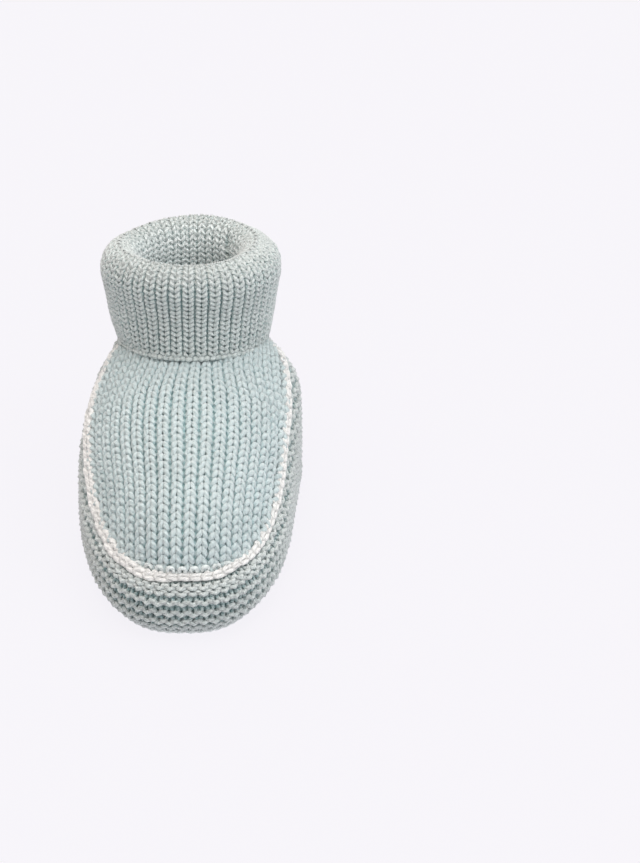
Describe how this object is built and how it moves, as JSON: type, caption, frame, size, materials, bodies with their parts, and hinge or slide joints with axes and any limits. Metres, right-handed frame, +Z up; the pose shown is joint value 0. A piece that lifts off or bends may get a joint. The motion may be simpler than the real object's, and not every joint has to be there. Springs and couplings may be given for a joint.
{
  "type": "baby bootie",
  "caption": "Hand-knit style soft baby bootie: garter-stitch sole and side band, stockinette instep with a white edging chain, ribbed leg and turned-down ribbed cuff.",
  "frame": {"origin": "on the ground, under the middle of the bootie's bounding box", "axes": "+Z up, +Y from the toe towards the heel, +X to the right of a viewer who faces the toe"},
  "size_m": [0.0584, 0.1142, 0.0703],
  "materials": {
    "garter_knit": "matt knitted wool, grey-green mint",
    "stockinette_knit": "matt knitted wool, pale mint",
    "rib_knit": "matt ribbed wool, grey mint",
    "white_yarn": "matt off-white yarn",
    "pale_yarn": "matt pale mint yarn",
    "seam_yarn": "matt mint sewing yarn"
  },
  "bodies": {
    "foot": {"sole": "garter_knit", "side_band": "garter_knit", "instep": "stockinette_knit", "leg_tube": "rib_knit", "instep_edging": "white_yarn", "toe_bind_off": "pale_yarn", "sole_seam_yarn": "seam_yarn", "heel_seam_yarn": "seam_yarn", "ankle_seam_yarn": "seam_yarn", "leg_seam_yarn": "seam_yarn"},
    "cuff": {"turned_cuff": "rib_knit", "cuff_hem": "rib_knit"}
  },
  "joints": [
    {"name": "cuff_turn_up", "type": "slide", "parent": "foot", "child": "cuff", "axis": [0, 0.1857, 0.9826], "range_m": [0, 0.015]}
  ]
}
